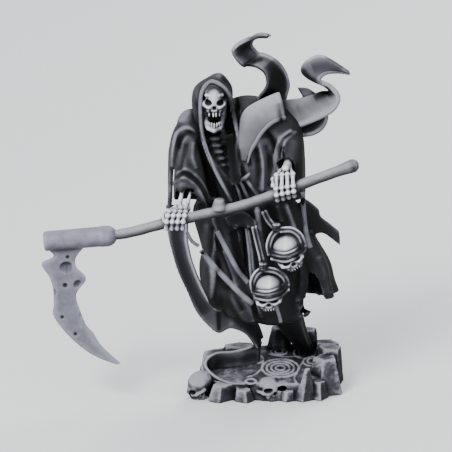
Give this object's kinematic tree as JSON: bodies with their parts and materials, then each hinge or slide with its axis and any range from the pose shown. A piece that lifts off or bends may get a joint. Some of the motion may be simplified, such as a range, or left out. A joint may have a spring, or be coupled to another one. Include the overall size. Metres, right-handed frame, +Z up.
{
  "type": "grim reaper figurine",
  "caption": "Resin figurine of a hooded skeleton in wind-blown robes with a scythe, standing on a broken stone plinth with buried skulls.",
  "frame": {"origin": "middle of the plinth's flat underside", "axes": "+Z up; the figure faces -Y; +X is the viewer's right, where the scythe's butt is"},
  "size_m": [0.0776, 0.0288, 0.0933],
  "materials": {
    "stone": "cast resin painted dark stone grey, dry-brushed paler on its edges",
    "cloth": "cast resin painted charcoal cloth, airbrushed paler on folds and rims",
    "bone": "cast resin painted pale bone with a dark wash in the hollows",
    "shaft": "cast resin painted mid grey, with pale edge lines",
    "blade": "cast resin painted lavender grey, paler along the edges"
  },
  "bodies": {
    "root": {"stone_base": "stone", "robed_figure": "cloth", "cloak_tail": "cloth", "ribbon_tall": "cloth", "ribbon_broad": "cloth", "ribbon_rear": "cloth", "head_skull": "bone", "right_hand": "bone", "left_hand": "bone", "trophy_skull_upper": "bone", "trophy_skull_lower": "bone", "scythe_shaft": "shaft", "scythe_blade": "blade"}
  },
  "joints": []
}
